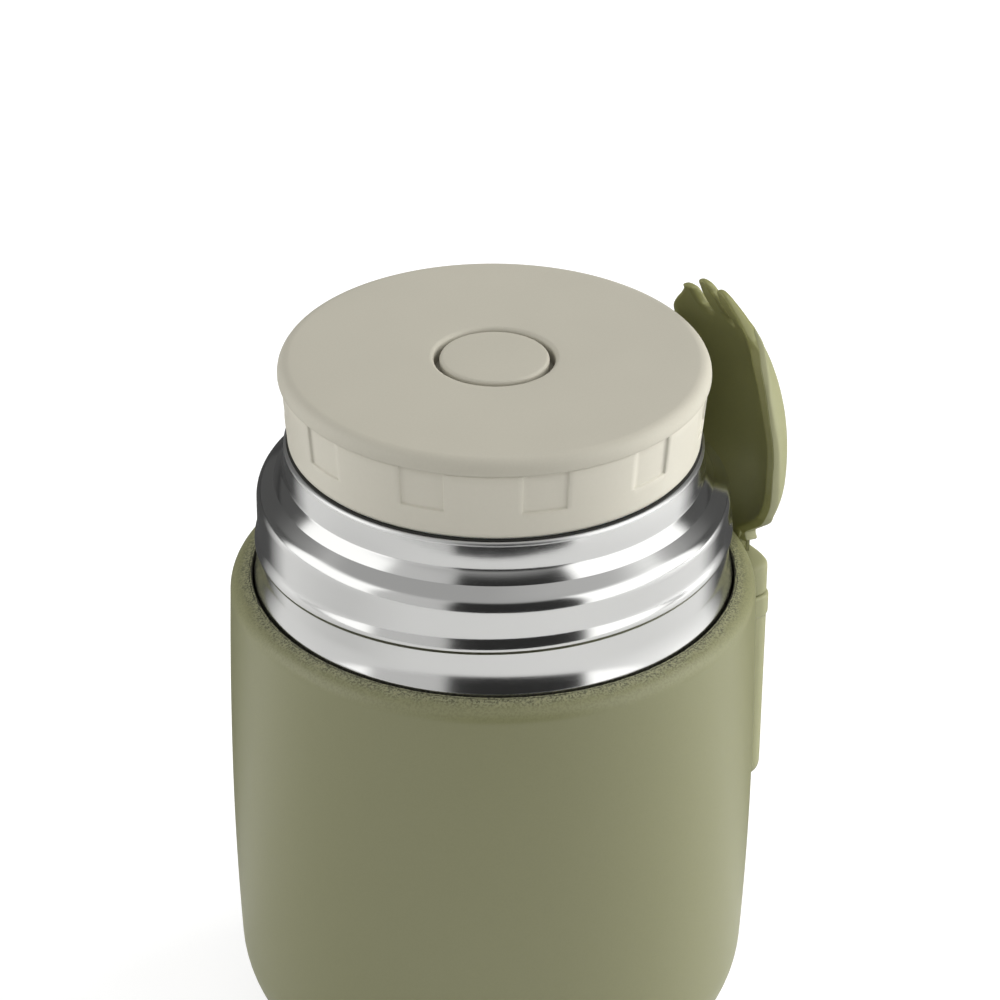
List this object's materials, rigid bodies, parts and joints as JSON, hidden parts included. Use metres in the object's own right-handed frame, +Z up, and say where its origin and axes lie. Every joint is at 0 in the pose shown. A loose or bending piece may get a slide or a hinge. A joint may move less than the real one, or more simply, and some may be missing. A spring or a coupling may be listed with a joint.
{
  "type": "insulated food jar",
  "caption": "Round insulated food jar with a bare steel neck, a screw stopper with a push button, and a spork in a side pocket.",
  "frame": {"origin": "centre of the flat base, on the surface that the jar stands on", "axes": "+Z up along the jar's axis; +X towards the spork's pocket"},
  "size_m": [0.1091, 0.098, 0.1446],
  "materials": {
    "outer_shell": "fine-textured olive powder coat",
    "neck_ring": "polished, with fine turning lines",
    "inner_liner": "brushed round",
    "reflector_foil": "copper-coloured foil",
    "base_cap": "satin",
    "vacuum_plug": "dark glass solder",
    "getter": "matt grey",
    "spork_pocket": "satin olive",
    "pocket_pad": "dull",
    "lid_top": "fine matt cream",
    "lid_ring": "satin cream",
    "stopper_cup": "smooth off-white",
    "insulation_puck": "foam",
    "mouth_gasket": "translucent silicone",
    "valve_sleeve": "smooth off-white",
    "button_cap": "fine matt cream",
    "valve_stem": "smooth",
    "valve_seal": "silicone",
    "stem_clip": "smooth",
    "button_spring": "drawn wire",
    "spork_core": "satin olive",
    "spork_skin": "satin olive"
  },
  "bodies": {
    "jar": {"outer_shell": "outer_shell", "neck_ring": "neck_ring", "inner_liner": "inner_liner", "reflector_foil": "reflector_foil", "base_cap": "base_cap", "vacuum_plug": "vacuum_plug", "getter": "getter", "spork_pocket": "spork_pocket", "pocket_pad": "pocket_pad"},
    "gasket": {"mouth_gasket": "mouth_gasket"},
    "stopper": {"lid_top": "lid_top", "lid_ring": "lid_ring", "stopper_cup": "stopper_cup", "insulation_puck": "insulation_puck", "valve_sleeve": "valve_sleeve", "button_spring": "button_spring"},
    "button": {"button_cap": "button_cap", "valve_stem": "valve_stem", "valve_seal": "valve_seal", "stem_clip": "stem_clip"},
    "spork": {"spork_core": "spork_core", "spork_skin": "spork_skin"}
  },
  "joints": [
    {"name": "stopper_rise", "type": "slide", "parent": "jar", "child": "gasket", "axis": [0, 0, 1], "range_m": [0, 0.024]},
    {"name": "stopper_turn", "type": "hinge", "parent": "gasket", "child": "stopper", "pos_m": [0, 0, 0.1253], "axis": [0, 0, 1], "range_deg": [0, 720]},
    {"name": "button_press", "type": "slide", "parent": "stopper", "child": "button", "axis": [0, 0, -1], "range_m": [0, 0.003], "stiffness_N_per_m": 400, "springref_m": -0.002, "deforming": ["button_spring"]},
    {"name": "spork_lift", "type": "slide", "parent": "jar", "child": "spork", "axis": [0, 0, 1], "range_m": [0, 0.06]}
  ],
  "couplings": [
    {"joint": "stopper_rise", "follows": "stopper_turn", "m_per_rad": 0.0019098}
  ]
}
